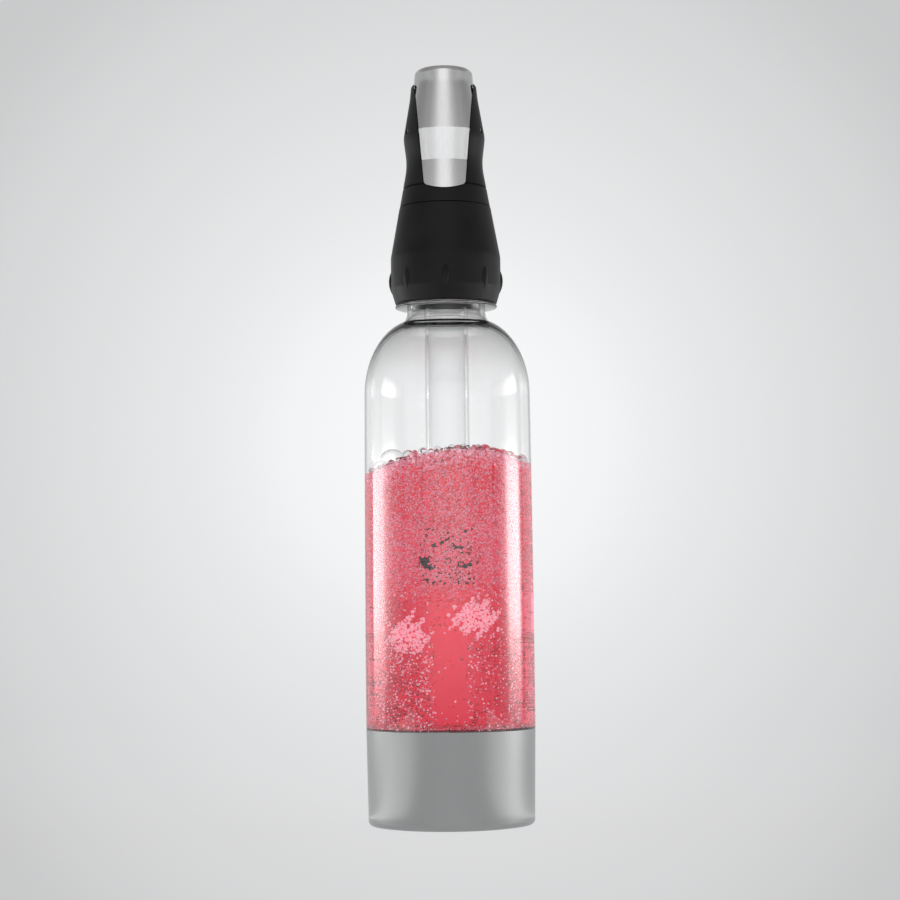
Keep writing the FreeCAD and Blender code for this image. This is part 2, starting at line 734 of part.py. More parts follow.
# --- vent valve -------------------------------------------------------------
def make_valve_seat():
    top = plug_top_z + valve_seat_flange_thickness
    outer = valve_bore_radius - press_fit_gap
    guide = stem_radius + running_fit
    seat = turned([
        (guide, valve_seat_foot_z, 0), (outer, valve_seat_foot_z, 0), (outer, plug_top_z, 0),
        (valve_seat_flange_radius, plug_top_z, 0), (valve_seat_flange_radius, top, valve_rim_rounding),
        (spring_pocket_radius, top, 0), (spring_pocket_radius, spring_foot_z, 0),
        (guide, spring_foot_z, 0),
    ])
    port = rod(valve_port_radius, valve_seat_foot_z, spring_foot_z, valve_port_circle, 0)
    seat = seat.cut(Part.makeCompound(around(port, valve_port_count)))
    seat.translate(V(0, valve_back, 0))
    return seat


def make_valve_stem():
    head_top = valve_seat_foot_z - stem_seal_thickness
    head_foot = head_top - stem_head_thickness
    head = rod(stem_head_radius, head_foot, head_top, 0, valve_back)
    shank = rod(stem_radius, head_top, stem_cap_top_z - stem_cap_thickness / 2, 0, valve_back)
    return head.fuse(shank).removeSplitter()


def make_stem_seal():
    foot = valve_seat_foot_z - stem_seal_thickness
    return tube(stem_radius + press_fit_gap, stem_head_radius, foot, valve_seat_foot_z, valve_back)


def make_stem_cap():
    shank_top = stem_cap_top_z - stem_cap_thickness / 2
    cap = turned([(0, stem_cap_foot_z, 0), (stem_cap_radius, stem_cap_foot_z, 0),
                  (stem_cap_radius, stem_cap_top_z, valve_rim_rounding), (0, stem_cap_top_z, 0)], valve_back)
    return cap.cut(rod(stem_radius + press_fit_gap, stem_cap_foot_z, shank_top, 0, valve_back))


def make_valve_spring():
    height = stem_cap_foot_z - spring_foot_z - 2 * spring_wire_radius
    helix = Part.makeHelix(height / spring_turns, height, spring_mean_radius)
    section = Part.Wire(Part.makeCircle(spring_wire_radius, V(spring_mean_radius, 0, 0), V(0, 1, 0)))
    spring = Part.Wire(helix).makePipeShell([section], True, True)
    spring.translate(V(0, valve_back, spring_foot_z + spring_wire_radius))
    return spring


# --- piercing pin -----------------------------------------------------------
def make_charger_seal():
    return tube(seal_bore_radius, seal_pocket_radius - press_fit_gap, charger_top_z, seal_pocket_top_z)


def make_pin_holder():
    foot = seal_pocket_top_z
    pocket = needle_foot_radius + press_fit_gap
    holder = tube(needle_radius + press_fit_gap, holder_radius, foot, foot + holder_height)
    holder = holder.cut(rod(pocket, foot + holder_web, foot + holder_height))
    return holder


def make_piercing_pin():
    foot = seal_pocket_top_z + holder_web
    tip = foot - needle_length
    return turned([
        (0, tip, 0), (needle_radius, tip + needle_point_length, 0), (needle_radius, foot, 0),
        (needle_foot_radius, foot, 0), (needle_foot_radius, foot + needle_foot_thickness, 0),
        (0, foot + needle_foot_thickness, 0),
    ])


def make_pin_retainer():
    foot = seal_pocket_top_z + holder_web + needle_foot_thickness
    top = seal_pocket_top_z + holder_height
    screw = rod(needle_foot_radius, foot, top)
    corner = V(-needle_foot_radius, -retainer_slot / 2, top - retainer_slot)
    slot = Part.makeBox(2 * needle_foot_radius, retainer_slot, retainer_slot, corner)
    return screw.cut(slot)


# --- charger and wand -------------------------------------------------------
def make_charger():
    shoulder = charger_top_z - charger_neck_length
    charger = turned([
        (0, charger_foot_z, 0),
        (charger_radius, charger_foot_z, charger_foot_rounding),
        (charger_radius, shoulder, charger_shoulder_rounding),
        (charger_neck_radius, shoulder + charger_shoulder_step, charger_neck_rounding),
        (charger_neck_radius, charger_top_z, charger_mouth_rounding),
        (0, charger_top_z, 0),
    ])
    return charger.cut(rod(pierced_hole_radius, charger_top_z - pierced_hole_depth, charger_top_z))


def make_wand_tube():
    wall = tube(wand_bore_radius, wand_radius, wand_foot_z, wand_top_z)
    bowl = charger_foot_rounding
    reach = stop_bore_radius - (charger_radius - bowl)
    stop_top = charger_foot_z + bowl - math.sqrt(bowl ** 2 - reach ** 2) - seam_gap
    stop = turned([
        (stop_bore_radius, stop_top, 0),
        (stop_bore_radius, stop_top - stop_lip, 0),
        (wand_bore_radius, stop_top - stop_height, 0),
        (wand_bore_radius + stop_root, stop_top - stop_height, 0),
        (wand_bore_radius + stop_root, stop_top, 0),
    ])
    return wall.fuse(stop).removeSplitter()


def make_wand_gasket():
    inner = wand_bore_radius + wand_gasket_bore_inset
    outer = wand_radius - wand_gasket_rim_inset
    return tube(inner, outer, wand_top_z, socket_top_z)


def make_wand_nozzle():
    inner = nozzle_radius - nozzle_wall
    spigot = wand_bore_radius - running_fit
    spigot_top = wand_foot_z + nozzle_spigot_length
    plate_foot = nozzle_foot_z + membrane_rise
    nozzle = turned([
        (outlet_radius, nozzle_foot_z, 0),
        (nozzle_radius, nozzle_foot_z, nozzle_edge_rounding),
        (nozzle_radius, wand_foot_z, nozzle_rim_rounding),
        (spigot, wand_foot_z, 0),
        (spigot, spigot_top, nozzle_rim_rounding),
        (spigot - nozzle_spigot_wall, spigot_top, 0),
        (spigot - nozzle_spigot_wall, plate_foot + membrane_thickness, 0),
        (flap_stalk_radius + press_fit_gap, plate_foot + membrane_thickness, 0),
        (flap_stalk_radius + press_fit_gap, plate_foot, 0),
        (inner, plate_foot, 0),
        (inner, nozzle_foot_z + nozzle_wall, 0),
        (outlet_radius, nozzle_foot_z + nozzle_wall, 0),
    ])
    port = rod(flap_port_radius, plate_foot, plate_foot + membrane_thickness, flap_port_circle, 0)
    corner = V(inner - nozzle_wall, -nozzle_slot_width / 2, nozzle_foot_z + nozzle_slot_rise)
    slot = Part.makeBox(beyond, nozzle_slot_width, nozzle_slot_height, corner)
    half_step = 180.0 / nozzle_slot_count
    cuts = around(port, flap_port_count) + around(slot, nozzle_slot_count, half_step)
    return nozzle.cut(Part.makeCompound(cuts)).removeSplitter()


def make_check_valve():
    plate_foot = nozzle_foot_z + membrane_rise
    plate_top = plate_foot + membrane_thickness
    return turned([
        (0, plate_foot - flap_thickness - flap_cone_height, 0),
        (flap_radius, plate_foot - flap_thickness, 0),
        (flap_radius, plate_foot, 0),
        (flap_stalk_radius, plate_foot, 0),
        (flap_stalk_radius, plate_top, 0),
        (flap_barb_radius, plate_top, 0),
        (flap_stalk_radius, plate_top + flap_barb_height, 0),
        (0, plate_top + flap_barb_height, 0),
    ])


PIECES = {
    "foot_pad": make_foot_pad,
    "base_cup": make_base_cup,
    "bottle": make_bottle,
    "neck_gasket": make_neck_gasket,
    "plug_oring": make_plug_oring,
    "head_plug": make_head_plug,
    "head_shell": make_head_shell,
    "head_screws": make_head_screws,
    "lever_pin": make_lever_pin,
    "collar": make_collar,
    "slip_ring": make_slip_ring,
    "lever": make_lever,
    "lever_bushes": make_lever_bushes,
    "tappet": make_tappet,
    "valve_seat": make_valve_seat,
    "valve_stem": make_valve_stem,
    "stem_seal": make_stem_seal,
    "stem_cap": make_stem_cap,
    "valve_spring": make_valve_spring,
    "charger_seal": make_charger_seal,
    "pin_holder": make_pin_holder,
    "piercing_pin": make_piercing_pin,
    "pin_retainer": make_pin_retainer,
    "charger": make_charger,
    "wand_tube": make_wand_tube,
    "wand_gasket": make_wand_gasket,
    "wand_nozzle": make_wand_nozzle,
    "check_valve": make_check_valve,
}

os.makedirs("parts", exist_ok=True)
for name, make in PIECES.items():
    shape = make()
    shape.exportStep("parts/" + name + ".step")
    print(name, "solids", len(shape.Solids), "valid", shape.isValid(), "volume", round(shape.Volume, 1))
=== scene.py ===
import math
import random

import bmesh
import bpy
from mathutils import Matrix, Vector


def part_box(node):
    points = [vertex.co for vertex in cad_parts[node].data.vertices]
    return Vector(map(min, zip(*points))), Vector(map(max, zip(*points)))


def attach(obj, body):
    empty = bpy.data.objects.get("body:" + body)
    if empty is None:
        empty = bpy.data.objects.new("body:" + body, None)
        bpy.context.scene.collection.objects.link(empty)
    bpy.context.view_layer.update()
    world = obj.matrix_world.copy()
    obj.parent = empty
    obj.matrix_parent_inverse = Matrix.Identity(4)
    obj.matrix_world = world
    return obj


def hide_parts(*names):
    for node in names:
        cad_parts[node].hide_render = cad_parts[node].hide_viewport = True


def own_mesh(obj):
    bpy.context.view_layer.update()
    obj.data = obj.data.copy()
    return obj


# The looks of a carbonating soda siphon: clear bottle, satin base cup, black head,
# silver lever, hanging wand, and the bubbling drink in it. Metres, front towards -Y.

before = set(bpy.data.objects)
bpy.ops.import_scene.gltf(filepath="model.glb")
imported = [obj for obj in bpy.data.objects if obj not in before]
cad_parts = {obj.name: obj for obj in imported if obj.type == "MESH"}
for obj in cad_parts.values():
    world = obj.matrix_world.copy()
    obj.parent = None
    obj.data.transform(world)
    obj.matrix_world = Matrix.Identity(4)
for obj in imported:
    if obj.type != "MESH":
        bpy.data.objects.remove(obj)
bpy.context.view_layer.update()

MM = 0.001
ROUND = 160               # segments of a turned piece
TUBE_ROUND = 96


# --- heights and radii, in millimetres ---------------------------------------
CUP_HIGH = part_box("base_cup")[1][2] / MM
BOTTLE_LOW, MOUTH = (corner[2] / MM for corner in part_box("bottle"))
COLLAR_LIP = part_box("collar")[0][2] / MM
NOZZLE_LOW, NOZZLE_HIGH = (corner[2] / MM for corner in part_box("wand_nozzle"))
TUBE_LOW, TUBE_HIGH = (corner[2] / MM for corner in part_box("wand_tube"))
TUBE_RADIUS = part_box("wand_tube")[1][0] / MM
TUBE_WALL = 1.6
TUBE_BORE = TUBE_RADIUS - TUBE_WALL

BOTTLE_WALL = 1.2
BOTTLE_FLOOR = 2.2
LEDGE_WALL = 0.7          # the wall where it steps out over the cup's rim
FOOT_RADIUS = 39.0
FOOT_ROUNDING = 26.0
BARREL_FOOT, BARREL_WAIST, BARREL_TOP = 42.1, 42.0, 41.5
BARREL_HEIGHT = 166.0
SHOULDER_CENTRE = 15.2
SHOULDER_RISE = 38.0
SHOULDER_SWELL = 2.2      # times the barrel's wall, at the shoulder's top
NECK_RADIUS = 19.7
NECK_ROUNDING = 5.5
FLANGE_RADIUS = 25.6
FLANGE_THICKNESS = 1.4
FLANGE_ROUNDING = 0.6
SEAM = 0.3                # between the flange and the collar over it
FLANGE_LOW = COLLAR_LIP - SEAM - FLANGE_THICKNESS
FINISH_RADIUS = 20.0
MOUTH_RADIUS = 17.4
MOUTH_ROUNDING = 0.8      # of the mouth's outer edge; the inner edge has half
THREAD_RISE = 1.25
THREAD_PITCH = 4.0
THREAD_TURNS = 2.2
THREAD_LOW = FLANGE_LOW + 6.0
THREAD_HALF = 1.25        # half the ridge's width at its root
THREAD_SLOPE = 0.6        # the width of its flank

LIQUID_TOP = 183.5
LIQUID_FLOOR = 1.6        # above the bottle's lowest point
LIQUID_IN_WALL = 0.6      # the drink's face lies this share of the way in through the wall
SPRING_WIRE = 0.25        # radius
SPRING_TURNS = 5


# --- mesh helpers -------------------------------------------------------------
def arc(centre_r, centre_z, radius_r, radius_z, start, end, steps):
    """Points of an elliptic arc; angles in degrees from +r towards +z."""
    points = []
    for i in range(steps + 1):
        angle = math.radians(start + (end - start) * i / steps)
        points.append((centre_r + radius_r * math.cos(angle), centre_z + radius_z * math.sin(angle)))
    return points


def mesh_of(name, verts, faces):
    mesh = bpy.data.meshes.new(name)
    mesh.from_pydata(verts, [], faces)
    return mesh


def outward(mesh):
    """The mesh with all its faces turned outwards."""
    clean = bmesh.new()
    clean.from_mesh(mesh)
    bmesh.ops.recalc_face_normals(clean, faces=clean.faces)
    clean.to_mesh(mesh)
    clean.free()
    return mesh


def new_piece(name, mesh, mat, body, sharp=35):
    """An object of the scene; a piece of the object rides on a body, the stage on none."""
    mesh.polygons.foreach_set("use_smooth", [True] * len(mesh.polygons))
    mesh.set_sharp_from_angle(angle=math.radians(sharp))
    piece = bpy.data.objects.new(name, mesh)
    bpy.context.collection.objects.link(piece)
    mesh.materials.append(mat)
    if body:
        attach(piece, body)
    return piece


def lathe(name, outline, mat, body, closed=False, bend=None, segments=ROUND):
    """A turned piece; bend(radius, z, angle) may move a point's radius."""
    verts = []
    rings = []
    for r, z in outline:
        if r < 1e-6:
            rings.append([len(verts)])
            verts.append((0, 0, z * MM))
            continue
        ring = []
        for k in range(segments):
            angle = 2 * math.pi * k / segments
            radius = bend(r, z, angle) if bend else r
            ring.append(len(verts))
            verts.append((radius * math.sin(angle) * MM, -radius * math.cos(angle) * MM, z * MM))
        rings.append(ring)
    faces = []
    pairs = list(zip(rings, rings[1:]))
    if closed:
        pairs.append((rings[-1], rings[0]))
    for low, high in pairs:
        for k in range(segments):
            after = (k + 1) % segments
            corners = [low[k % len(low)], low[after % len(low)],
                       high[after % len(high)], high[k % len(high)]]
            kept = [c for i, c in enumerate(corners) if c not in corners[:i]]
            if len(kept) > 2:
                faces.append(kept)
    return new_piece(name, outward(mesh_of(name, verts, faces)), mat, body)


# --- materials ----------------------------------------------------------------
def material(name, **values):
    mat = bpy.data.materials.new(name)
    mat.use_nodes = True
    shader = mat.node_tree.nodes["Principled BSDF"]
    for key, value in values.items():
        shader.inputs[key.replace("_", " ")].default_value = value
    return mat, mat.node_tree, shader


def add(tree, kind, **values):
    node = tree.nodes.new(kind)
    for key, value in values.items():
        if hasattr(node, key):
            setattr(node, key, value)
        else:
            node.inputs[key].default_value = value
    return node


def put(tree, socket, value):
    """Feed a socket with a number or with another node's output."""
    if isinstance(value, bpy.types.NodeSocket):
        tree.links.new(value, socket)
    else:
        socket.default_value = value


def maths(tree, operation, *values):
    node = add(tree, "ShaderNodeMath", operation=operation)
    for socket, value in zip(node.inputs, values):
        put(tree, socket, value)
    return node.outputs[0]


def length(tree, *parts):
    """Length of the vector with these parts along its axes."""
    whole = add(tree, "ShaderNodeCombineXYZ")
    for socket, value in zip(whole.inputs, parts):
        put(tree, socket, value)
    node = add(tree, "ShaderNodeVectorMath", operation="LENGTH")
    tree.links.new(whole.outputs[0], node.inputs[0])
    return node.outputs["Value"]


def between(tree, share, first, second):
    node = add(tree, "ShaderNodeMix", data_type="FLOAT")
    put(tree, node.inputs[0], share)
    put(tree, node.inputs[2], first)
    put(tree, node.inputs[3], second)
    return node.outputs[0]


def place_axes(tree, kind="Object"):
    """X, Y and Z of the place on the object, or of the direction in the sky."""
    place = add(tree, "ShaderNodeTexCoord")
    axes = add(tree, "ShaderNodeSeparateXYZ")
    tree.links.new(place.outputs[kind], axes.inputs[0])
    return axes.outputs


def noise(tree, scale, detail=3.0, stretch=(1, 1, 1)):
    """Noise in the object's own metres, with a stretch along its axes."""
    place = add(tree, "ShaderNodeTexCoord")
    squeeze = add(tree, "ShaderNodeMapping")
    squeeze.inputs["Scale"].default_value = stretch
    grain = add(tree, "ShaderNodeTexNoise", Scale=scale, Detail=detail)
    tree.links.new(place.outputs["Object"], squeeze.inputs["Vector"])
    tree.links.new(squeeze.outputs["Vector"], grain.inputs["Vector"])
    return grain


def spread(tree, source, low, high, from_low=0.35, from_high=0.65):
    """Map a range, a texture's middle one if none is given, to low..high."""
    ranged = add(tree, "ShaderNodeMapRange")
    ranged.inputs["From Min"].default_value = from_low
    ranged.inputs["From Max"].default_value = from_high
    ranged.inputs["To Min"].default_value = low
    ranged.inputs["To Max"].default_value = high
    tree.links.new(source, ranged.inputs["Value"])
    return ranged.outputs["Result"]


def ramp_between(tree, value, stops):
    """Float curve through (position, value) stops."""
    ramp = add(tree, "ShaderNodeFloatCurve")
    curve = ramp.mapping.curves[0]
    low, high = stops[0][0], stops[-1][0]
    span = add(tree, "ShaderNodeMapRange")
    span.inputs["From Min"].default_value = low
    span.inputs["From Max"].default_value = high
    while len(curve.points) < len(stops):
        curve.points.new(0.5, 0.5)
    for point, (place, height) in zip(curve.points, stops):
        point.location = ((place - low) / (high - low), height)
    ramp.mapping.update()
    tree.links.new(value, span.inputs["Value"])
    tree.links.new(span.outputs["Result"], ramp.inputs["Value"])
    return ramp.outputs["Value"]


def bump(tree, shader, height, distance, strength):
    node = add(tree, "ShaderNodeBump", Strength=strength, Distance=distance)
    tree.links.new(height, node.inputs["Height"])
    tree.links.new(node.outputs["Normal"], shader.inputs["Normal"])


def tint(tree, shader, source, dark, light):
    """Base colour that wanders between two tones with a texture."""
    ramp = add(tree, "ShaderNodeMix", data_type="RGBA")
    ramp.inputs[6].default_value = (*dark, 1)
    ramp.inputs[7].default_value = (*light, 1)
    tree.links.new(spread(tree, source, 0.0, 1.0, 0.3, 0.7), ramp.inputs[0])
    tree.links.new(ramp.outputs[2], shader.inputs["Base Color"])


def let_lamps_through(mat):
    """Lamps shine through clear walls, so what is inside stays lit."""
    tree = mat.node_tree
    shader = tree.nodes["Principled BSDF"]
    output = tree.nodes["Material Output"]
    path = add(tree, "ShaderNodeLightPath")
    clear = add(tree, "ShaderNodeBsdfTransparent")
    clear.inputs["Color"].default_value = (1, 1, 1, 1)
    mix = add(tree, "ShaderNodeMixShader")
    tree.links.new(path.outputs["Is Shadow Ray"], mix.inputs[0])
    tree.links.new(shader.outputs[0], mix.inputs[1])
    tree.links.new(clear.outputs[0], mix.inputs[2])
    tree.links.new(mix.outputs[0], output.inputs["Surface"])


def soak(mat, colour, density):
    """Light is soaked up along its way through the piece."""
    volume = add(mat.node_tree, "ShaderNodeVolumeAbsorption", Density=density)
    volume.inputs["Color"].default_value = (*colour, 1)
    output = mat.node_tree.nodes["Material Output"]
    mat.node_tree.links.new(volume.outputs["Volume"], output.inputs["Volume"])


def clear_plastic(name, ior, ripple, density=0.0, painted_shade=None):
    """Clear plastic; the last argument paints shade on it, greying its base colour by height, as (metres,
    tone) stops.
    """
    mat, tree, shader = material(
        name, Base_Color=(0.985, 0.99, 0.99, 1), Roughness=0.0, IOR=ior, Transmission_Weight=1.0)
    if painted_shade:
        # painted shade: the base colour greys with height
        height = place_axes(tree)["Z"]
        tree.links.new(ramp_between(tree, height, painted_shade), shader.inputs["Base Color"])
    wave = noise(tree, 18.0, 2.0, (1, 1, 0.35))
    bump(tree, shader, wave.outputs["Fac"], ripple, 0.5)
    if density:
        soak(mat, (0.2, 0.21, 0.2), density)
    let_lamps_through(mat)
    return mat


def black_plastic(name, tone, roughness):
    mat, tree, shader = material(name, IOR=1.5, Specular_IOR_Level=0.16)
    cloud = noise(tree, 60.0, 4.0)
    tint(tree, shader, cloud.outputs["Fac"], [v * 0.8 for v in tone], [v * 1.25 for v in tone])
    fine = noise(tree, 2600.0, 2.0)
    tree.links.new(spread(tree, cloud.outputs["Fac"], roughness * 0.9, roughness * 1.12),
                   shader.inputs["Roughness"])
    bump(tree, shader, fine.outputs["Fac"], 0.00006, 0.35)
    return mat


def satin_metal(name, tone, roughness, streak):
    """Silver finish, brushed along the axis, with faint streaks."""
    mat, tree, shader = material(name, Metallic=1.0)
    brush = noise(tree, 900.0, 3.0, (1, 1, 0.03))
    cloud = noise(tree, 35.0, 3.0)
    tint(tree, shader, brush.outputs["Fac"], [v * (1 - streak) for v in tone], tone)
    tree.links.new(spread(tree, cloud.outputs["Fac"], roughness * 0.9, roughness * 1.1),
                   shader.inputs["Roughness"])
    bump(tree, shader, brush.outputs["Fac"], 0.00002, 0.3)
    return mat


def satin_paint(name, tone, roughness, metallic):
    mat, tree, shader = material(name, Metallic=metallic, IOR=1.5)
    flake = noise(tree, 4200.0, 2.0)
    cloud = noise(tree, 30.0, 3.0)
    tint(tree, shader, flake.outputs["Fac"], [v * 0.93 for v in tone], [v * 1.06 for v in tone])
    tree.links.new(spread(tree, cloud.outputs["Fac"], roughness * 0.92, roughness * 1.08),
                   shader.inputs["Roughness"])
    bump(tree, shader, flake.outputs["Fac"], 0.00003, 0.25)
    return mat


def plain(name, tone, roughness, metallic=0.0, grain=1200.0, depth=0.00003):
    mat, tree, shader = material(name, Metallic=metallic)
    fine = noise(tree, grain, 3.0)
    tint(tree, shader, fine.outputs["Fac"], [v * 0.88 for v in tone], [min(v * 1.08, 1) for v in tone])
    tree.links.new(spread(tree, fine.outputs["Fac"], roughness * 0.85, roughness * 1.15),
                   shader.inputs["Roughness"])
    bump(tree, shader, fine.outputs["Fac"], depth, 0.4)
    return mat


# Painted shade on the clear bottle by height: its base colour greys up the shoulder, and most on the neck
# under the collar.
PAINTED_SHADE_BY_HEIGHT = [(0.0, 1.0), (0.20, 1.0), (0.225, 0.985), (0.242, 0.95), (0.2515, 0.90), (0.2545, 0.62),
         (0.2585, 0.62), (0.261, 0.84), (0.29, 0.80)]
CLEAR = clear_plastic("clear_bottle_plastic", 1.5, 0.00005, 34.0, PAINTED_SHADE_BY_HEIGHT)
TUBE = clear_plastic("clear_tube_plastic", 1.30, 0.00003, 6.0)
WET_TUBE = clear_plastic("tube_plastic_in_drink", 1.16, 0.00003)
BLACK = black_plastic("black_plastic", (0.011, 0.011, 0.012), 0.42)
SILVER = satin_metal("satin_silver", (0.86, 0.86, 0.86), 0.24, 0.05)
GREY = satin_paint("satin_grey_paint", (0.345, 0.35, 0.35), 0.36, 0.7)
RUBBER = plain("soft_rubber", (0.03, 0.03, 0.032), 0.75, grain=900.0, depth=0.00006)
STEEL = plain("bright_steel", (0.62, 0.63, 0.64), 0.24, 1.0, grain=700.0)
ZINC = plain("charger_zinc", (0.70, 0.71, 0.73), 0.30, 1.0, grain=300.0)
BRASS = plain("turned_brass", (0.72, 0.53, 0.24), 0.26, 1.0, grain=800.0)
NYLON = plain("natural_nylon", (0.74, 0.73, 0.69), 0.45, grain=500.0)


# --- the drink ------------------------------------------------------------------
def liquid_material(name, ior, colour=None, density=0.0):
    mat, tree, shader = material(
        name, Base_Color=(1, 1, 1, 1), Roughness=0.0, IOR=ior, Transmission_Weight=1.0)
    wave = noise(tree, 60.0, 2.0)
    bump(tree, shader, wave.outputs["Fac"], 0.00004, 0.3)
    if density:
        soak(mat, colour, density)
    let_lamps_through(mat)
    return mat


def froth(name, tone, painted_glow, strength):
    """Bubbles too fine to see through, with a painted glow: emission that stands in for the light the froth
    scatters in itself.
    """
    mat, tree, shader = material(name, Emission_Color=(*painted_glow, 1), Emission_Strength=strength, Roughness=0.6)
    fine = noise(tree, 1500.0, 2.0)
    tint(tree, shader, fine.outputs["Fac"], [v * 0.85 for v in tone], tone)
    bump(tree, shader, fine.outputs["Fac"], 0.00003, 0.3)
    return mat


DRINK = liquid_material("pink_drink", 1.33, (0.999, 0.03, 0.28), 42.0)
GAS = liquid_material("gas_in_drink", 1.33)
FOAM = liquid_material("foam_film", 1.1)
SHELL = liquid_material("bubble_shell", 1.33)
# Both froths glow with painted light, an emission that stands in for the light scattered inside them.
FIZZ = froth("fine_fizz_painted_glow", (0.96, 0.56, 0.66), (0.95, 0.38, 0.48), 0.20)
FROTH = froth("pale_froth_painted_glow", (0.98, 0.66, 0.73), (1.0, 0.52, 0.60), 0.36)


# --- bottle, wand tube and spring -------------------------------------------------
def barrel_radius(z):
    """The barrel's faint belly: a parabola through three radii."""
    z0, z1, z2 = CUP_HIGH, CUP_HIGH + BARREL_HEIGHT / 2, CUP_HIGH + BARREL_HEIGHT
    part0 = BARREL_FOOT * (z - z1) * (z - z2) / ((z0 - z1) * (z0 - z2))
    part1 = BARREL_WAIST * (z - z0) * (z - z2) / ((z1 - z0) * (z1 - z2))
    part2 = BARREL_TOP * (z - z0) * (z - z1) / ((z2 - z0) * (z2 - z1))
    return part0 + part1 + part2


def shoulder(inset, neck, rounding):
    """Elliptic shoulder that blends into the neck by a tangent arc."""
    base_z = CUP_HIGH + BARREL_HEIGHT
    across = BARREL_TOP - inset - SHOULDER_CENTRE
    rise = SHOULDER_RISE - inset * SHOULDER_SWELL

    def gap(centre_z):
        nearest = 1e9
        at = 0
        for k in range(901):
            t = k * 0.1
            r = SHOULDER_CENTRE + across * math.cos(math.radians(t))
            z = base_z + rise * math.sin(math.radians(t))
            away = math.hypot(r - neck - rounding, z - centre_z)
            if away < nearest:
                nearest, at = away, t
        return nearest, at

    low, high = base_z + rise * 0.8, base_z + rise + rounding * 2
    for _ in range(40):
        middle = (low + high) / 2
        if gap(middle)[0] < rounding:
            low = middle
        else:
            high = middle
    centre_z = (low + high) / 2
    end = gap(centre_z)[1]
    points = arc(SHOULDER_CENTRE, base_z, across, rise, 0, end, 40)
    centre_r = neck + rounding
    touch = points[-1]
    start = math.degrees(math.atan2(touch[1] - centre_z, touch[0] - centre_r))
    return points + arc(centre_r, centre_z, rounding, rounding, start % 360, 180, 10)[1:]


def bottle_half(inset, floor_z, neck, rounding, step_rise):
    """Profile from the middle of the floor up to the neck."""
    foot = FOOT_RADIUS - inset
    turn = FOOT_ROUNDING - inset
    points = [(0, floor_z), (foot - turn, floor_z)]
    points += arc(foot - turn, floor_z + turn, turn, turn, -90, 0, 14)[1:]
    points.append((foot, CUP_HIGH))
    rows = 24
    start = CUP_HIGH + step_rise
    for i in range(rows):
        z = start + (CUP_HIGH + BARREL_HEIGHT - start) * i / rows
        points.append((barrel_radius(z) - inset, z))
    return points + shoulder(inset, neck, rounding)


def thread(radius, z, angle):
    """The neck's thread: a ridge that winds up the finish."""
    if radius > FINISH_RADIUS + 0.01 or radius < FINISH_RADIUS - 0.01:
        return radius
    along = (z - THREAD_LOW) / THREAD_PITCH - angle / (2 * math.pi)
    turn = round(along)
    place = turn + angle / (2 * math.pi)
    if place < 0 or place > THREAD_TURNS:
        return radius
    ease = min(1.0, place * 6, (THREAD_TURNS - place) * 6)
    side = abs(along - turn) * THREAD_PITCH
    return radius + THREAD_RISE * ease * max(0.0, min(1.0, (THREAD_HALF - side) / THREAD_SLOPE))


def make_bottle():
    outer = bottle_half(0, BOTTLE_LOW, NECK_RADIUS, NECK_ROUNDING, 0)
    inner = bottle_half(BOTTLE_WALL, BOTTLE_LOW + BOTTLE_FLOOR, MOUTH_RADIUS,
                        NECK_ROUNDING + BOTTLE_WALL, LEDGE_WALL)
    flange_top = FLANGE_LOW + FLANGE_THICKNESS
    edge = FLANGE_ROUNDING
    outer += [(NECK_RADIUS, FLANGE_LOW)]
    outer += arc(FLANGE_RADIUS - edge, FLANGE_LOW + edge, edge, edge, -90, 0, 5)
    outer += arc(FLANGE_RADIUS - edge, flange_top - edge, edge, edge, 0, 90, 5)
    lip = MOUTH_ROUNDING
    rows = 64
    for i in range(rows + 1):
        outer.append((FINISH_RADIUS, flange_top + (MOUTH - lip - flange_top) * i / rows))
    outer += arc(FINISH_RADIUS - lip, MOUTH - lip, lip, lip, 0, 90, 5)[1:]
    lip = MOUTH_ROUNDING / 2
    outer += arc(MOUTH_RADIUS + lip, MOUTH - lip, lip, lip, 90, 180, 4)
    piece = lathe("bottle_clear", outer + inner[::-1], CLEAR, "bottle", bend=thread)
    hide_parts("bottle")


def make_tube():
    """The wand's tube in two lengths; inside the drink it bends light far less."""
    line = LIQUID_TOP - 0.5
    for name, low, high, mat in (("tube_in_drink", TUBE_LOW, line, WET_TUBE),
                                 ("tube_above_drink", line, TUBE_HIGH, TUBE)):
        outline = [(TUBE_BORE, low), (TUBE_RADIUS, low), (TUBE_RADIUS, high), (TUBE_BORE, high)]
        piece = lathe(name, outline, mat, "wand", closed=True, segments=TUBE_ROUND)
        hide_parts("wand_tube")


def make_spring():
    """The vent valve's return spring, as one fixed coil the height of its CAD part; the real one shortens
    as the stem comes down on it.
    """
    low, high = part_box("valve_spring")
    middle = (low[1] + high[1]) / 2
    tall = high[2] - low[2]
    wire = SPRING_WIRE * MM
    coil = (high[0] - low[0]) / 2 - wire
    turn_steps, wire_steps = 32, 12
    steps = SPRING_TURNS * turn_steps
    verts = []
    faces = []
    for i in range(steps + 1):
        turn = i / turn_steps * 2 * math.pi
        rise = low[2] + wire + (tall - 2 * wire) * i / steps
        for k in range(wire_steps):
            angle = 2 * math.pi * k / wire_steps
            reach = coil + wire * math.cos(angle)
            verts.append((reach * math.cos(turn), middle + reach * math.sin(turn),
                          rise + wire * math.sin(angle)))
    for i in range(steps):
        for k in range(wire_steps):
            a, b = i * wire_steps + k, i * wire_steps + (k + 1) % wire_steps
            faces.append((a, a + wire_steps, b + wire_steps, b))
    faces.append(tuple(range(wire_steps)))
    faces.append(tuple(steps * wire_steps + k for k in reversed(range(wire_steps))))
    piece = new_piece("return_spring", mesh_of("return_spring", verts, faces), STEEL, "head")
    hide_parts("valve_spring")
    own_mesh(piece)


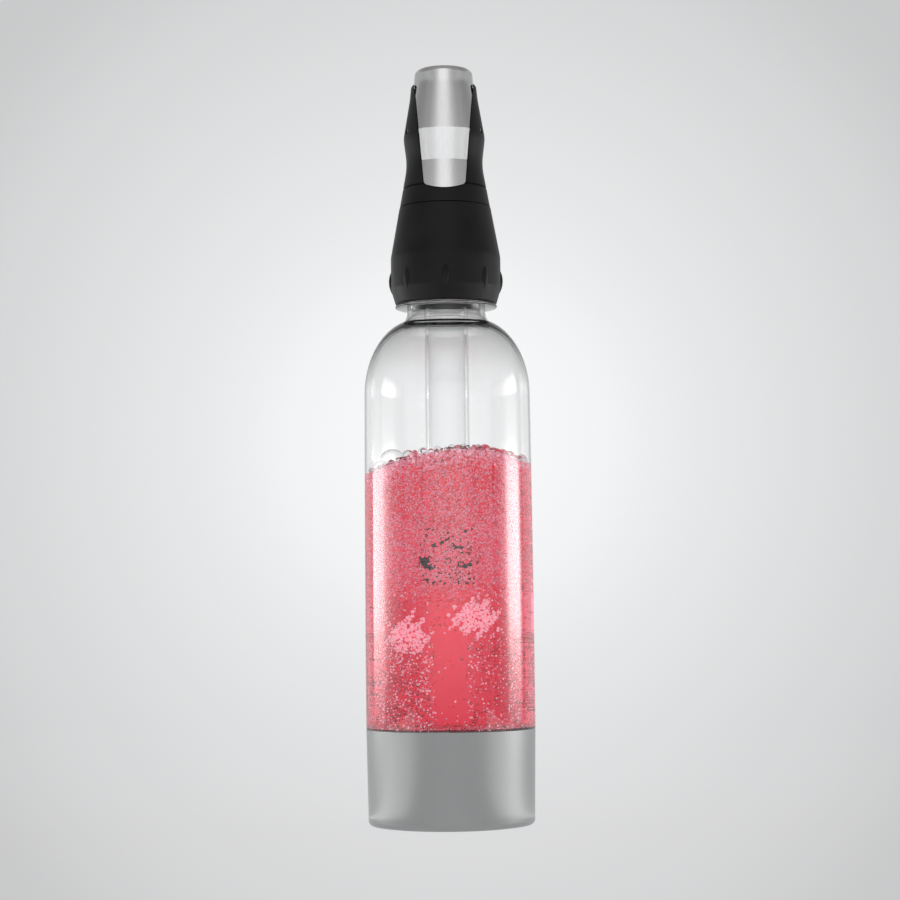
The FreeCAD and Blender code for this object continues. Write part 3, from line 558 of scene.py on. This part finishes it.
BIG_BUBBLE = 0.75         # from this radius on a ball gets more faces
CHANCE = random.Random(7)
SWELLS = [(CHANCE.uniform(-38, 38), CHANCE.uniform(-38, 38), CHANCE.uniform(1.8, 5.0))
          for _ in range(120)]
SWELL_FLATNESS = 0.4      # height of a dome over its half width
SURFACE_SINK = 0.9        # the face between the domes lies this far under the level
SURFACE_DEPTH = 14.0      # the drink's wall ends this far under its level
LEFT_DIP, RIGHT_DIP = 6.5, 4.5
LEFT_SLOPE, RIGHT_SLOPE = (-14, 26.0), (15, 25.0)   # where a dip starts, and how wide it is


def level(x, y):
    """The drink's churned level, lower towards both sides."""
    left = max(0.0, min(1.0, (LEFT_SLOPE[0] - x) / LEFT_SLOPE[1]))
    right = max(0.0, min(1.0, (x - RIGHT_SLOPE[0]) / RIGHT_SLOPE[1]))
    dip = LEFT_DIP * left * left * (3 - 2 * left) + RIGHT_DIP * right * right * (3 - 2 * right)
    return LIQUID_TOP + 1.6 * math.sin((x + 2) / 17.0) + 0.7 * math.sin(y / 8.0 + 1) - dip


def surface_height(x, y):
    """The level with the domes of bubbles that lie just under it."""
    swell = 0.0
    for sx, sy, size in SWELLS:
        away = math.hypot(x - sx, y - sy)
        if away < size:
            swell = max(swell, math.sqrt(size * size - away * away) * SWELL_FLATNESS)
    return level(x, y) + swell - SURFACE_SINK


def ball_mesh(detail):
    """A small round ball as lists of points and faces."""
    made = bmesh.new()
    bmesh.ops.create_icosphere(made, subdivisions=detail, radius=1.0)
    points = [tuple(v.co) for v in made.verts]
    faces = [[v.index for v in f.verts] for f in made.faces]
    made.free()
    return points, faces


# Two ragged places of the front wall where pale froth clings: middle and half sizes,
# across and up, and a phase for the rags.
PATCHES = [((-19.0, 93.5), (8.6, 9.4), 0.6), ((11.4, 102.5), (10.0, 8.0), 2.1)]


def in_patch(x, z):
    """How deep a place lies in a froth patch; 0 is outside."""
    deepest = 0.0
    for (middle_x, middle_z), (half_x, half_z), phase in PATCHES:
        across, up = (x - middle_x) / half_x, (z - middle_z) / half_z
        ragged = 1 + 0.30 * math.sin(1.1 * x + phase) * math.sin(0.9 * z + phase)
        ragged += 0.25 * math.sin(0.6 * z - 0.8 * x)
        deepest = max(deepest, 1 - math.hypot(across, up) / ragged)
    return deepest


def make_liquid():
    """The drink fills the bottle, and the wand in it, to a churned surface."""
    inset = BOTTLE_WALL * LIQUID_IN_WALL
    wall = bottle_half(inset, BOTTLE_LOW + LIQUID_FLOOR, MOUTH_RADIUS, NECK_ROUNDING,
                       LEDGE_WALL * LIQUID_IN_WALL)
    profile = [p for p in wall if p[1] < LIQUID_TOP - SURFACE_DEPTH]
    rim = barrel_radius(LIQUID_TOP) - inset
    profile.append((rim, LIQUID_TOP))
    rows = 34
    for i in range(1, rows):
        profile.append((rim * (1 - i / rows), LIQUID_TOP))
    profile.append((0, LIQUID_TOP))
    piece = lathe("drink", profile, DRINK, "bottle")
    for vert in piece.data.vertices:
        if vert.co.z > (LIQUID_TOP - 0.5) * MM:
            vert.co.z = surface_height(vert.co.x / MM, vert.co.y / MM) * MM
    piece.data.update()


def bubbles(name, places, mat, inward, smallest=2):
    """Many balls, some taller than others, as one piece; inward ones are hollows."""
    balls = [ball_mesh(smallest), ball_mesh(smallest + 1)]
    verts = []
    faces = []
    for x, y, z, size in places:
        ball, ball_faces = balls[0 if size < BIG_BUBBLE else 1]
        base = len(verts)
        tall = 0.95 + 0.13 * math.sin(7 * x + 11 * y + 5 * z)
        for bx, by, bz in ball:
            verts.append(((x + bx * size) * MM, (y + by * size) * MM, (z + bz * size * tall) * MM))
        for face in ball_faces:
            ring = [base + i for i in face]
            faces.append(ring[::-1] if inward else ring)
    new_piece(name, mesh_of(name, verts, faces), mat, "bottle", sharp=180)


def scatter(count, tries, pitch, draw):
    """Up to count of the balls that draw() makes, each kept where it touches no other."""
    places = []
    cells = {}                # a coarse grid of what is there
    for _ in range(count * tries):
        if len(places) >= count:
            break
        ball = draw()
        if ball is None:
            continue
        x, y, z, size = ball
        i, j, k = (int(place // pitch) for place in (x, y, z))
        near = [other for di in (-1, 0, 1) for dj in (-1, 0, 1) for dk in (-1, 0, 1)
                for other in cells.get((i + di, j + dj, k + dk), ())]
        if all((ox - x) ** 2 + (oy - y) ** 2 + (oz - z) ** 2 >= (reach + size) ** 2
               for ox, oy, oz, reach in near):
            places.append(ball)
            cells.setdefault((i, j, k), []).append(ball)
    return places


def any_angle():
    return CHANCE.uniform(-math.pi, math.pi)


def around(radius, angle):
    """A place round the axis; angle 0 is the front."""
    return radius * math.sin(angle), -radius * math.cos(angle)


CROWD_LOW = 117           # the crowd of bubbles reaches down to here
STREAMS_HIGH = 92         # the streams on both sides rise to here
RIGHT_STREAM_LOW = 68     # under this the right stream is thin
CLEAR_MIDDLE = 6          # half the width of the clearer drink at the cup's rim
CLEAR_WIDENS = 0.05       # mm of half width for each mm of height


def crowding(z, x, angle):
    """How thick the bubbles are at a place: a crowd above, streams on both sides below."""
    if z > CROWD_LOW:
        return 0.55
    if abs(x) < CLEAR_MIDDLE + CLEAR_WIDENS * (z - CUP_HIGH):
        return 0.03
    wave = 0.5 + 0.5 * math.sin(3 * angle + 0.09 * z) * math.sin(7 * angle + 1.3)
    if z > STREAMS_HIGH:
        return 0.12 + 0.3 * wave
    if x < 0:
        return 0.75 + 0.25 * wave
    return (0.25 if z < RIGHT_STREAM_LOW else 0.5) + 0.3 * wave


# Openings in the fizz that show the black nozzle, as they look from the front:
# across and up in mm, then half the width and half the height.
NOZZLE_GAPS = [(-12.0, 130.5, 5.0, 2.6), (-10.0, 127.5, 3.6, 2.0), (-6.0, 138.0, 3.4, 1.3),
               (-13.5, 136.0, 2.2, 1.0), (4.0, 137.0, 3.2, 1.2), (8.0, 128.5, 3.6, 1.6),
               (9.5, 134.0, 2.4, 1.0), (-1.0, 131.5, 1.8, 0.8)]
DRINK_IOR = 1.33
LENS_RADIUS = 40          # of the drink as a lens


def in_gap(x, y, z):
    """Whether a bubble stands in front of one of the openings, seen through the drink."""
    if y > 0:
        return False
    across = x * DRINK_IOR / (1 + (DRINK_IOR - 1) * -y / LENS_RADIUS)
    ragged = 0.5 * math.sin(x * 2.3 + z * 1.7) + 0.4 * math.sin(x * 4.1 - z * 3.1)
    for middle, height, wide, tall in NOZZLE_GAPS:
        if ((across - middle) / wide) ** 2 + ((z - height) / tall) ** 2 < 1 + ragged:
            return True
    return False


WIDEST_FIZZ = 41.4        # radius of the barrel that the bubbles keep inside
OFF_WALL = 0.3            # from the wall to the nearest bubble
LIMB = 33.5               # beyond this the fizz thins out, so the drink looks deep there
LIMB_SPARED = 0.88        # share of the fizz that is left out there
SMALL_BELOW = 84          # under this height the clear bubbles are smaller
VEIL_FADES = (106, 126)   # heights between which the veil of finest bubbles comes up


def on_limb(x):
    return abs(x) > LIMB and CHANCE.random() < LIMB_SPARED


def rising_bubble():
    """A clear bubble near the wall, in the crowd above or the streams below."""
    z = CHANCE.uniform(CUP_HIGH - 3, LIQUID_TOP - 2)
    angle = any_angle()
    size = min(1.7, 0.42 + CHANCE.expovariate(3.6))
    if z < SMALL_BELOW:
        size = min(1.1, size * 0.9)
    wall = min(barrel_radius(max(z, CUP_HIGH)), WIDEST_FIZZ) - BOTTLE_WALL - OFF_WALL
    x, y = around(wall - size - min(CHANCE.expovariate(0.45), 15), angle)
    if CHANCE.random() > crowding(z, x, angle):
        return None
    if z + size > level(x, y) - 1.4 or in_gap(x, y, z):
        return None
    return x, y, z, size


def fine_bubble():
    """One of the finest bubbles, too small to see through: a veil under the upper wall."""
    z = CHANCE.uniform(CUP_HIGH, LIQUID_TOP - 1)
    angle = any_angle()
    size = CHANCE.uniform(0.26, 0.62)
    wall = min(barrel_radius(z), WIDEST_FIZZ) - BOTTLE_WALL - OFF_WALL
    x, y = around(wall - size - min(CHANCE.expovariate(0.3), 14), angle)
    thick = min(1.0, max(0.0, (z - VEIL_FADES[0]) / (VEIL_FADES[1] - VEIL_FADES[0]))) ** 2
    if on_limb(x) or CHANCE.random() > max(thick, 0.17 * crowding(z, x, angle)):
        return None
    if z + size > level(x, y) - 0.6 or in_gap(x, y, z):
        return None
    return x, y, z, size


def nozzle_bubble():
    """Fizz crowds round the nozzle, with a few gaps that show it."""
    z = CHANCE.gauss((NOZZLE_LOW + NOZZLE_HIGH) / 2, 11.0)
    angle = any_angle()
    size = CHANCE.uniform(0.45, 1.0)
    x, y = around(TUBE_RADIUS + 1.2 + size + abs(CHANCE.gauss(0, 6.0)), angle)
    return None if in_gap(x, y, z) else (x, y, z, size)


def patch_bubble():
    """Pale froth on the front wall, beside the clear middle."""
    x = CHANCE.uniform(-31, 25)
    z = CHANCE.uniform(86, 120)
    if CHANCE.random() > in_patch(x, z) * 4:
        return None
    size = CHANCE.uniform(0.4, 1.0)
    reach = barrel_radius(z) - BOTTLE_WALL - 1.5 - size - CHANCE.uniform(0, 5)
    return x, -math.sqrt(reach * reach - x * x), z, size


def top_bubble():
    """A band of froth along the wall, just under the surface."""
    angle = any_angle()
    size = CHANCE.uniform(0.35, 1.0)
    x, y = around(BARREL_TOP - BOTTLE_WALL - OFF_WALL - size - min(CHANCE.expovariate(0.35), 24), angle)
    if on_limb(x):
        return None
    return x, y, level(x, y) - size - min(CHANCE.expovariate(0.45), 9), size


def stream_bubble():
    """Pale specks among the bubbles of the lower streams."""
    z = CHANCE.uniform(CUP_HIGH, 116)
    angle = any_angle()
    size = CHANCE.uniform(0.28, 0.6)
    x, y = around(barrel_radius(z) - BOTTLE_WALL - OFF_WALL - size - min(CHANCE.expovariate(0.9), 4), angle)
    if on_limb(x) or CHANCE.random() > crowding(z, x, angle):
        return None
    return x, y, z, size


def foot_bubble():
    """Fizz over the whole width just above the cup."""
    angle = any_angle()
    size = CHANCE.uniform(0.3, 0.6)
    x, y = around(36.5 * math.sqrt(CHANCE.random()), angle)
    return x, y, CUP_HIGH + CHANCE.uniform(-3.5, 1.8), size


def foam_bubble():
    """Foam along the wall and over the surface."""
    size = CHANCE.choice((0.9, 1.2, 1.5, 2.0, 2.8))
    angle = any_angle()
    wall = BARREL_TOP - BOTTLE_WALL - OFF_WALL - size
    x, y = around(wall - (0 if CHANCE.random() < 0.8 else CHANCE.uniform(0, 14)), angle)
    if math.hypot(x, y) < TUBE_RADIUS + size + 1:
        return None
    return x, y, level(x, y) + size * CHANCE.uniform(-0.2, 0.5), size * 0.97


LARGE_FOAM = [(-27.0, -19.0, 181.0, 5.9), (-33.0, -12.5, 177.5, 3.4), (-18.5, -28.5, 180.5, 3.0),
              (8.0, -35.0, 184.9, 2.6), (2.0, -35.8, 184.9, 2.1), (14.0, -32.5, 184.5, 2.3),
              (-5.0, -35.5, 183.9, 2.2), (-12.0, -33.6, 183.0, 2.5), (21.0, -29.0, 182.7, 2.4)]
FILM = 0.11               # thickness of a large bubble's skin


def make_bubbles():
    """All the bubbles, each kind with its count, the tries for one, and the grid's pitch."""
    bubbles("drink_bubbles", scatter(3300, 5, 4.0, rising_bubble), GAS, True, 1)
    fizz = scatter(13000, 3, 2.0, fine_bubble)
    fizz += scatter(4200, 4, 2.5, nozzle_bubble)
    fizz += scatter(1500, 4, 2.0, foot_bubble)
    fizz += scatter(900, 6, 2.5, top_bubble)
    bubbles("drink_fizz", fizz, FIZZ, False, 1)
    pale = scatter(620, 30, 2.5, patch_bubble)
    pale += scatter(260, 6, 2.5, top_bubble)
    pale += scatter(1300, 8, 2.0, stream_bubble)
    bubbles("drink_froth", pale, FROTH, False, 1)
    bubbles("drink_foam", scatter(150, 8, 8.0, foam_bubble), FOAM, False)
    bubbles("large_foam", LARGE_FOAM, SHELL, False)
    inside = [(x, y, z, size - FILM) for x, y, z, size in LARGE_FOAM]
    bubbles("large_foam_inside", inside, SHELL, True)


make_bottle()
make_tube()
make_spring()
make_liquid()
make_bubbles()


# --- finishes of the pieces that keep their CAD form -------------------------------
def dress(node, mat):
    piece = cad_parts[node]
    piece.data.materials.clear()
    piece.data.materials.append(mat)


FINISHES = {
    "base_cup": GREY, "foot_pad": RUBBER,
    "head_plug": BLACK, "head_shell": BLACK, "head_screws": STEEL, "lever_pin": STEEL,
    "neck_gasket": RUBBER, "plug_oring": RUBBER, "slip_ring": NYLON, "valve_seat": BRASS,
    "charger_seal": RUBBER, "pin_holder": BRASS, "piercing_pin": STEEL, "pin_retainer": BRASS,
    "collar": BLACK, "lever": SILVER, "lever_bushes": NYLON, "tappet": BLACK,
    "valve_stem": BRASS, "stem_seal": RUBBER, "stem_cap": NYLON, "charger": ZINC,
    "wand_gasket": RUBBER, "wand_nozzle": BLACK, "check_valve": RUBBER,
}
for node_name, finish in FINISHES.items():
    dress(node_name, finish)


# --- stage ------------------------------------------------------------------------
BOWL_FLAT = 1.5           # metres; the pale floor is flat this far out
BOWL_RADIUS = 3.0
BOWL_HEIGHT = 1.7
PAPER = (0.990, 0.996, 1.006)
PAPER_GLOW = 0.6
# Stops are (place, share) along a line; slopes are seen from GLOW_EYE, (metres in
# front of the object, metres up).
GLOW_EYE = (1.25, 0.10)
GLOW_NEAREST = 0.6        # metres; slopes nearer than this are worked out for it
GLOW_RISE = 0.075         # slope at which the glow behind the object is centred
GLOW = [(0.0, 0.89), (0.05, 0.865), (0.10, 0.765), (0.15, 0.685), (0.20, 0.615), (0.27, 0.53),
        (0.34, 0.80), (0.42, 0.88), (0.60, 0.88)]
FRONT_PEAK = 1.15         # of the wall in front of the object, which its faces reflect
FRONT_ACROSS = [(0.0, 0.98), (0.6, 0.97), (0.95, 0.86), (1.3, 0.66), (1.9, 0.62), (2.7, 0.95), (3.0, 1.0)]
FRONT_OUT = [(0.0, 0.4), (1.3, 0.4), (2.4, 1.0), (3.5, 1.0)]
WALL_UP = [(0.0, 1.0), (0.5, 1.0), (0.75, 0.70), (1.0, 0.45), (1.7, 0.36)]
GLOW_ENDS = (0.28, 0.42)  # slopes over which the glow gives way to the plain wall
FRONT_TO_BACK = (-1.0, -0.4)   # along Y; the wall in front gives way to the one behind


def glow_material(name, tone, strength):
    """Paper that glows by itself; returns the material and its strength socket."""
    mat = bpy.data.materials.new(name)
    mat.use_nodes = True
    shader = mat.node_tree.nodes["Principled BSDF"]
    shader.inputs["Base Color"].default_value = (0.12, 0.12, 0.12, 1)
    shader.inputs["Roughness"].default_value = 0.95
    shader.inputs["Specular IOR Level"].default_value = 0.0
    shader.inputs["Emission Color"].default_value = (*tone, 1)
    shader.inputs["Emission Strength"].default_value = strength
    return mat, mat.node_tree, shader.inputs["Emission Strength"]


def backdrop():
    """A pale floor that curves up all round; it is brightest behind the object."""
    path = [(0.0, 0.0), (0.3, 0.0), (0.8, 0.0), (BOWL_FLAT, 0.0)]
    bend_radius = BOWL_RADIUS - BOWL_FLAT
    for i in range(1, 25):
        angle = math.radians(90 * i / 24)
        path.append((BOWL_FLAT + bend_radius * math.sin(angle), bend_radius * (1 - math.cos(angle))))
    path.append((BOWL_RADIUS, BOWL_HEIGHT))
    mat, tree, strength = glow_material("backdrop_paper", PAPER, PAPER_GLOW)
    axes = place_axes(tree)
    up_wall = ramp_between(tree, axes["Z"], WALL_UP)

    reach = maths(tree, "MAXIMUM", maths(tree, "ADD", axes["Y"], GLOW_EYE[0]), GLOW_NEAREST)
    across = maths(tree, "DIVIDE", axes["X"], reach)
    up = maths(tree, "DIVIDE", maths(tree, "SUBTRACT", axes["Z"], GLOW_EYE[1]), reach)
    slope = length(tree, across, maths(tree, "SUBTRACT", up, GLOW_RISE))
    outside = between(tree, spread(tree, slope, 0.0, 1.0, *GLOW_ENDS), 1.0, up_wall)
    behind = maths(tree, "MULTIPLY", ramp_between(tree, slope, GLOW), outside)

    aside = ramp_between(tree, maths(tree, "ABSOLUTE", axes["X"]), FRONT_ACROSS)
    out = ramp_between(tree, length(tree, axes["X"], axes["Y"], axes["Z"]), FRONT_OUT)
    in_front = maths(tree, "MULTIPLY", maths(tree, "MULTIPLY", aside, up_wall), out)
    in_front = maths(tree, "MULTIPLY", in_front, FRONT_PEAK)

    backward = spread(tree, axes["Y"], 0.0, 1.0, *FRONT_TO_BACK)
    tree.links.new(between(tree, backward, in_front, behind), strength)
    lathe("backdrop", [(r / MM, z / MM) for r, z in path], mat, None)


SIDE_AWAY = 1.1
SIDE_HIGH = 0.70
SIDE_UPRIGHT = [(-0.5, 0.14), (-0.465, 0.26), (-0.43, 0.40), (-0.38, 0.66), (-0.32, 1.0),
                (-0.148, 1.0), (-0.115, 0.28), (-0.07, 0.14), (0.3, 0.03), (0.5, 0.0)]
SIDE_DIM = 0.35
RIGHT_DEPTH = (-0.60, 0.66)   # along Y
RIGHT_PEAK = 6.5
RIGHT_ACROSS = [(-0.5, 0.0), (-0.30, 0.07), (-0.18, 0.2), (-0.08, 0.65), (0.0, 1.0), (0.24, 1.0),
                (0.31, 0.7), (0.37, 0.25), (0.43, 0.08), (0.5, 0.0)]
LEFT_DEPTH = (-0.60, 0.80)
LEFT_PEAK = 5.1
LEFT_ACROSS = [(-0.5, 0.0), (-0.45, 1.0), (-0.10, 0.97), (-0.04, 0.65), (0.06, 0.35), (0.20, 0.16),
               (0.36, 0.08), (0.5, 0.0)]
FRONT_SHARES = [(-0.5, 0.0), (-0.42, 0.05), (-0.33, 0.2), (-0.24, 0.5), (-0.17, 0.85), (-0.10, 1.0),
                (0.10, 1.0), (0.17, 0.85), (0.24, 0.5), (0.33, 0.2), (0.42, 0.05), (0.5, 0.0)]
FRONT_UPRIGHT = [(-0.5, 0.0), (-0.36, 0.9), (-0.19, 1.0), (-0.04, 0.84), (0.12, 0.80),
                 (0.35, 0.7), (0.5, 0.0)]
CARD_NEAR, CARD_FAR = 0.0435, 1.15
CARD_TURNS = (-42, 2)     # degrees round from the object's side, towards the front and the back
CARD_GLOW = 1.65
FRONT_LIGHT_PLACE = (-0.04, -1.75, 1.62)
FRONT_LIGHT_SIZE = (3.1, 1.6)
FRONT_LIGHT_TILT = 75     # degrees from lying flat
FRONT_LIGHT_PEAK = 0.92
FRONT_LIGHT_DIM = 0.32


def softbox(name, place, size, turn, peak, across, upright, dim):
    """A glowing sheet; across and upright are its brightness along both sides, over a dim level."""
    mesh = mesh_of(name, [(-0.5, -0.5, 0), (0.5, -0.5, 0), (0.5, 0.5, 0), (-0.5, 0.5, 0)], [(0, 1, 2, 3)])
    mat, tree, strength = glow_material(name + "_cloth", (1, 1, 1), peak)
    axes = place_axes(tree)
    both = maths(tree, "MULTIPLY", ramp_between(tree, axes["X"], across),
                 ramp_between(tree, axes["Y"], upright))
    tree.links.new(maths(tree, "MULTIPLY_ADD", both, peak - dim, dim), strength)
    sheet = new_piece(name, mesh, mat, None, sharp=180)
    sheet.scale = (size[0], size[1], 1)
    sheet.location = place
    sheet.rotation_euler = turn
    sheet.visible_camera = False
    sheet.visible_shadow = False


SKY = [(0.0, 0.60), (0.36, 0.52), (0.46, 0.45), (0.53, 0.38), (0.60, 0.30), (0.75, 0.24), (1.0, 0.30)]
SKY_ASIDE = [(0.0, 1.0), (0.68, 1.0), (0.84, 0.64), (1.0, 0.5)]


def studio_light():
    """Soft light from all round, darker overhead than near the floor."""
    world = bpy.data.worlds.new("studio")
    bpy.context.scene.world = world
    world.use_nodes = True
    tree = world.node_tree
    axes = place_axes(tree, "Generated")
    aside = maths(tree, "ABSOLUTE", axes["X"])
    sky = maths(tree, "MULTIPLY", ramp_between(tree, axes["Z"], SKY), ramp_between(tree, aside, SKY_ASIDE))
    tree.links.new(sky, tree.nodes["Background"].inputs["Strength"])
    tree.nodes["Background"].inputs["Color"].default_value = (1, 1, 1, 1)


def floor_card(name, side):
    """A glowing card just over the floor on either side; only glossy faces show it."""
    spots = []
    for reach in (CARD_NEAR, CARD_FAR):
        for turn in CARD_TURNS:
            spots.append((side * reach, reach * math.tan(math.radians(turn)), 0.004))
    mat = glow_material(name + "_paper", (1, 1, 1), CARD_GLOW)[0]
    card = new_piece(name, mesh_of(name, spots, [(0, 2, 3, 1)]), mat, None)
    card.visible_camera = False
    card.visible_diffuse = False
    card.visible_transmission = False
    card.visible_shadow = False


def lights():
    studio_light()
    for end, side, (near, far), peak, across in (("right", 1, RIGHT_DEPTH, RIGHT_PEAK, RIGHT_ACROSS),
                                                 ("left", -1, LEFT_DEPTH, LEFT_PEAK, LEFT_ACROSS)):
        softbox("side_light_" + end, (side * SIDE_AWAY, (near + far) / 2, SIDE_HIGH / 2),
                (far - near, SIDE_HIGH), (math.pi / 2, 0, side * math.pi / 2), peak, across,
                SIDE_UPRIGHT, SIDE_DIM)
        floor_card("side_card_" + end, side)
    softbox("front_light", FRONT_LIGHT_PLACE, FRONT_LIGHT_SIZE,
            (math.radians(FRONT_LIGHT_TILT), 0, 0), FRONT_LIGHT_PEAK,
            FRONT_SHARES, FRONT_UPRIGHT, FRONT_LIGHT_DIM)


# --- camera -------------------------------------------------------------------------
FRAME = 900               # pixels
FOCAL = 2350              # pixels
EYE_AWAY = 1.175
EYE_HEIGHT = 0.1015
ROLL = 0.66               # degrees
RISE = 170                # pixels; the horizon lies this far below the middle
SHIFT = 0.3               # pixels; the object's axis beside the middle, before the roll


def camera():
    """Low eye, looking slightly up through a long lens, with a touch of roll."""
    lens = bpy.data.cameras.new("camera")
    lens.sensor_width = 36.0
    lens.lens = lens.sensor_width * FOCAL / FRAME
    view = bpy.data.objects.new("camera", lens)
    bpy.context.collection.objects.link(view)
    view.location = (SHIFT / FOCAL * EYE_AWAY, -EYE_AWAY, EYE_HEIGHT)
    view.rotation_euler = (math.pi / 2 + math.atan(RISE / FOCAL), math.radians(ROLL), 0)
    bpy.context.scene.camera = view


backdrop()
lights()
camera()
bpy.context.scene.view_settings.view_transform = "Standard"
